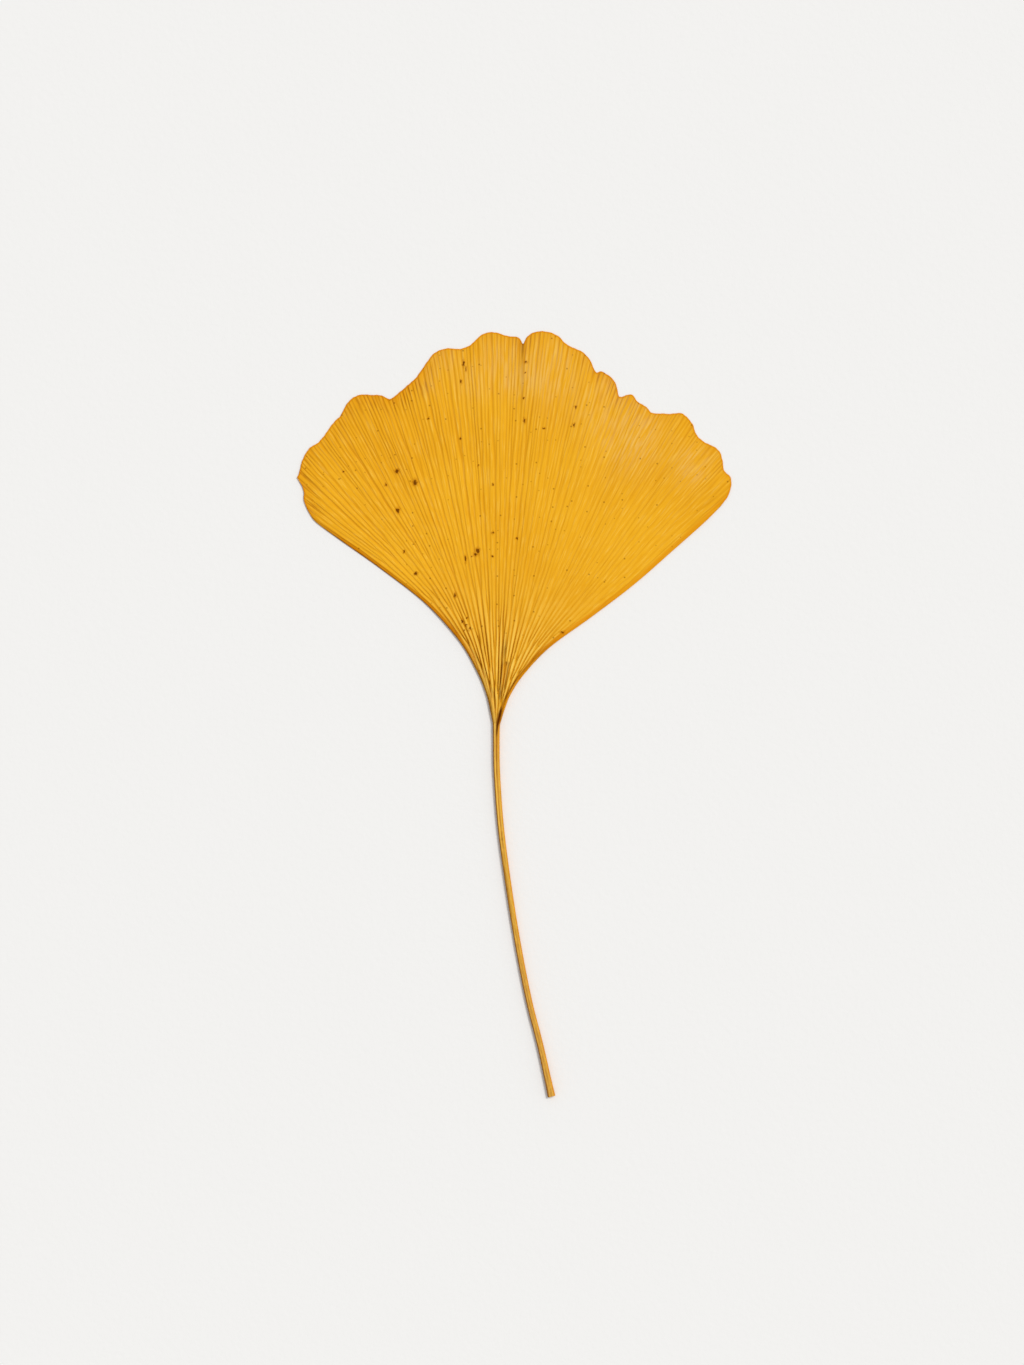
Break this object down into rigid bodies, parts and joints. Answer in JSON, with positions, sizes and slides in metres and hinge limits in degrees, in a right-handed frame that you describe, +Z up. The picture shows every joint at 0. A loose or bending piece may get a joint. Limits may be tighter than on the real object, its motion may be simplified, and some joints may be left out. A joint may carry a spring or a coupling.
{
  "type": "ginkgo leaf",
  "caption": "Dried and pressed ginkgo leaf: a fan-shaped blade with a lobed margin and spreading veins, on a long slender stalk, lying flat.",
  "frame": {"origin": "on the surface that the leaf lies on, under the middle of its bounding box", "axes": "+Z up out of the surface, +Y from the cut end of the stalk towards the blade, +X to the right when looking down on the leaf"},
  "size_m": [0.0748, 0.1318, 0.0012],
  "materials": {
    "leaf": "matte"
  },
  "bodies": {
    "root": {"ginkgo_leaf": "leaf"}
  },
  "joints": []
}
